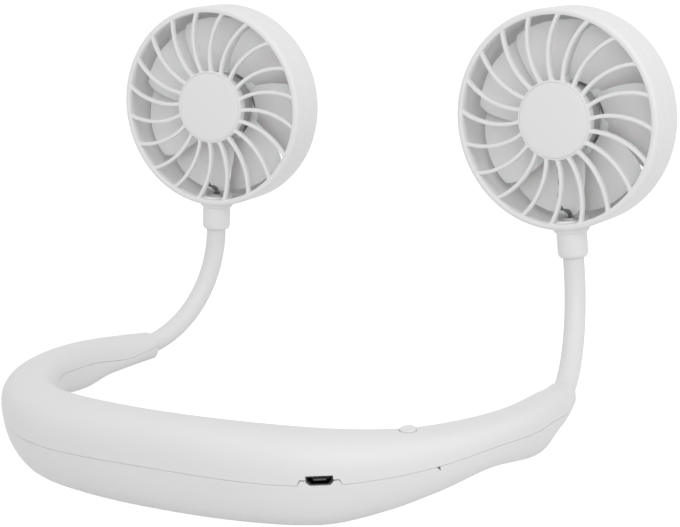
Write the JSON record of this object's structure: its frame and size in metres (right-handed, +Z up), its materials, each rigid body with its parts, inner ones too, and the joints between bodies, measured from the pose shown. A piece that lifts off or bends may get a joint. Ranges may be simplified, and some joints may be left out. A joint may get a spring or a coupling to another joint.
{
  "type": "electric neck fan",
  "caption": "Hands-free neck fan: a curved neckband with a battery and charging port carries two caged fan heads on bendable hoses.",
  "frame": {"origin": "on the surface that the object rests on, under the middle of the whole object's box", "axes": "+Z up, +X to the side with the charging port (the wearer's right), +Y from the nape towards the fan heads; the object rests on the belly of its neckband and on the two fore tips"},
  "size_m": [0.2164, 0.1752, 0.1253],
  "materials": {
    "band_plastic": "fine satin moulding",
    "head_plastic": "satin moulding",
    "cap_plastic": "fine satin disc",
    "impeller_plastic": "smooth moulding",
    "button_plastic": "smooth moulding",
    "sleeve_silicone": "soft matt silicone",
    "hose_steel": "bright wound steel",
    "anchor_brass": "turned",
    "lead_jacket": "flexible dark jacket",
    "cell_lead_jacket": "flexible jacket",
    "cell_wrap": "shrink-wrapped can",
    "board_laminate": "solder-masked laminate",
    "component_black": "moulded",
    "socket_steel": "plated",
    "screw_steel": "plated",
    "can_steel": "zinc plated, drawn",
    "magnet_ferrite": "sintered, matt",
    "brush_bronze": "phosphor bronze",
    "shaft_steel": "ground",
    "core_steel": "stacked laminations",
    "winding_copper": "enamelled copper wire",
    "commutator_copper": "turned copper"
  },
  "bodies": {
    "neckband": {"upper_shell": "band_plastic", "lower_shell": "band_plastic", "circuit_board": "board_laminate", "board_parts": "component_black", "charging_socket": "socket_steel", "socket_tongue": "component_black", "cell_left": "cell_wrap", "cell_right": "cell_wrap", "cell_leads": "cell_lead_jacket", "power_switch": "component_black", "shell_screws": "screw_steel", "hose_anchor_left": "anchor_brass", "hose_anchor_right": "anchor_brass", "hose_base_left": "hose_steel", "hose_base_right": "hose_steel", "hose_sleeve_left": "sleeve_silicone", "hose_sleeve_right": "sleeve_silicone", "motor_lead_left": "lead_jacket", "motor_lead_right": "lead_jacket"},
    "button": {"power_button": "button_plastic"},
    "hose_1_left": {"hose_link_1_left": "hose_steel"},
    "hose_2_left": {"hose_link_2_left": "hose_steel"},
    "hose_3_left": {"hose_link_3_left": "hose_steel"},
    "hose_4_left": {"hose_top_left": "hose_steel"},
    "head_left": {"neck_collar_left": "head_plastic", "front_grille_left": "head_plastic", "hub_cap_left": "cap_plastic", "rear_housing_left": "head_plastic", "motor_screws_left": "screw_steel", "motor_can_left": "can_steel", "field_magnets_left": "magnet_ferrite", "motor_end_cap_left": "component_black", "brushes_left": "brush_bronze", "bushes_left": "brush_bronze"},
    "rotor_left": {"shaft_left": "shaft_steel", "armature_core_left": "core_steel", "armature_coils_left": "winding_copper", "commutator_left": "commutator_copper", "impeller_left": "impeller_plastic"},
    "hose_1_right": {"hose_link_1_right": "hose_steel"},
    "hose_2_right": {"hose_link_2_right": "hose_steel"},
    "hose_3_right": {"hose_link_3_right": "hose_steel"},
    "hose_4_right": {"hose_top_right": "hose_steel"},
    "head_right": {"neck_collar_right": "head_plastic", "front_grille_right": "head_plastic", "hub_cap_right": "cap_plastic", "rear_housing_right": "head_plastic", "motor_screws_right": "screw_steel", "motor_can_right": "can_steel", "field_magnets_right": "magnet_ferrite", "motor_end_cap_right": "component_black", "brushes_right": "brush_bronze", "bushes_right": "brush_bronze"},
    "rotor_right": {"shaft_right": "shaft_steel", "armature_core_right": "core_steel", "armature_coils_right": "winding_copper", "commutator_right": "commutator_copper", "impeller_right": "impeller_plastic"}
  },
  "joints": [
    {"name": "button_press", "type": "slide", "parent": "neckband", "child": "button", "axis": [0, 0, -1], "range_m": [0, 0.0005], "stiffness_N_per_m": 2500, "springref_m": -0.0001},
    {"name": "hose_tilt_low_left", "type": "hinge", "parent": "neckband", "child": "hose_1_left", "pos_m": [-0.08216, 0.03421, 0.00573], "axis": [-0.977, 0.2077, 0.0488], "range_deg": [-20, 35], "deforming": ["hose_sleeve_left", "motor_lead_left"]},
    {"name": "hose_sway_low_left", "type": "hinge", "parent": "hose_1_left", "child": "hose_2_left", "pos_m": [-0.07932, 0.04648, 0.0104], "axis": [-0.0638, -0.503, 0.8619], "range_deg": [-8, 20], "deforming": ["hose_sleeve_left", "motor_lead_left"]},
    {"name": "hose_tilt_high_left", "type": "hinge", "parent": "hose_2_left", "child": "hose_3_left", "pos_m": [-0.07677, 0.05641, 0.01908], "axis": [-0.977, 0.2077, 0.0488], "range_deg": [-20, 35], "deforming": ["hose_sleeve_left", "motor_lead_left"]},
    {"name": "hose_sway_high_left", "type": "hinge", "parent": "hose_3_left", "child": "hose_4_left", "pos_m": [-0.07483, 0.06279, 0.03074], "axis": [-0.1797, -0.9245, 0.3363], "range_deg": [-8, 20], "deforming": ["hose_sleeve_left", "motor_lead_left"]},
    {"name": "head_swivel_left", "type": "hinge", "parent": "hose_4_left", "child": "head_left", "pos_m": [-0.07392, 0.06481, 0.04035], "axis": [-0.0763, -0.1261, -0.9891], "range_deg": [-45, 45], "deforming": ["motor_lead_left"]},
    {"name": "fan_spin_left", "type": "hinge", "parent": "head_left", "child": "rotor_left", "pos_m": [-0.07046, 0.07317, 0.08704], "axis": [0.0639, -0.9906, 0.1213], "continuous": true},
    {"name": "hose_tilt_low_right", "type": "hinge", "parent": "neckband", "child": "hose_1_right", "pos_m": [0.08216, 0.03421, 0.00573], "axis": [-0.977, -0.2077, -0.0488], "range_deg": [-20, 35], "deforming": ["hose_sleeve_right", "motor_lead_right"]},
    {"name": "hose_sway_low_right", "type": "hinge", "parent": "hose_1_right", "child": "hose_2_right", "pos_m": [0.07932, 0.04648, 0.0104], "axis": [-0.0638, 0.503, -0.8619], "range_deg": [-8, 20], "deforming": ["hose_sleeve_right", "motor_lead_right"]},
    {"name": "hose_tilt_high_right", "type": "hinge", "parent": "hose_2_right", "child": "hose_3_right", "pos_m": [0.07677, 0.05641, 0.01908], "axis": [-0.977, -0.2077, -0.0488], "range_deg": [-20, 35], "deforming": ["hose_sleeve_right", "motor_lead_right"]},
    {"name": "hose_sway_high_right", "type": "hinge", "parent": "hose_3_right", "child": "hose_4_right", "pos_m": [0.07483, 0.06279, 0.03074], "axis": [-0.1797, 0.9245, -0.3363], "range_deg": [-8, 20], "deforming": ["hose_sleeve_right", "motor_lead_right"]},
    {"name": "head_swivel_right", "type": "hinge", "parent": "hose_4_right", "child": "head_right", "pos_m": [0.07392, 0.06481, 0.04035], "axis": [-0.0763, 0.1261, 0.9891], "range_deg": [-45, 45], "deforming": ["motor_lead_right"]},
    {"name": "fan_spin_right", "type": "hinge", "parent": "head_right", "child": "rotor_right", "pos_m": [0.07046, 0.07317, 0.08704], "axis": [-0.0639, -0.9906, 0.1213], "continuous": true}
  ],
  "couplings": [
    {"joint": "hose_tilt_high_left", "follows": "hose_tilt_low_left", "ratio": 1},
    {"joint": "hose_sway_high_left", "follows": "hose_sway_low_left", "ratio": 1},
    {"joint": "hose_tilt_high_right", "follows": "hose_tilt_low_right", "ratio": 1},
    {"joint": "hose_sway_high_right", "follows": "hose_sway_low_right", "ratio": 1}
  ]
}
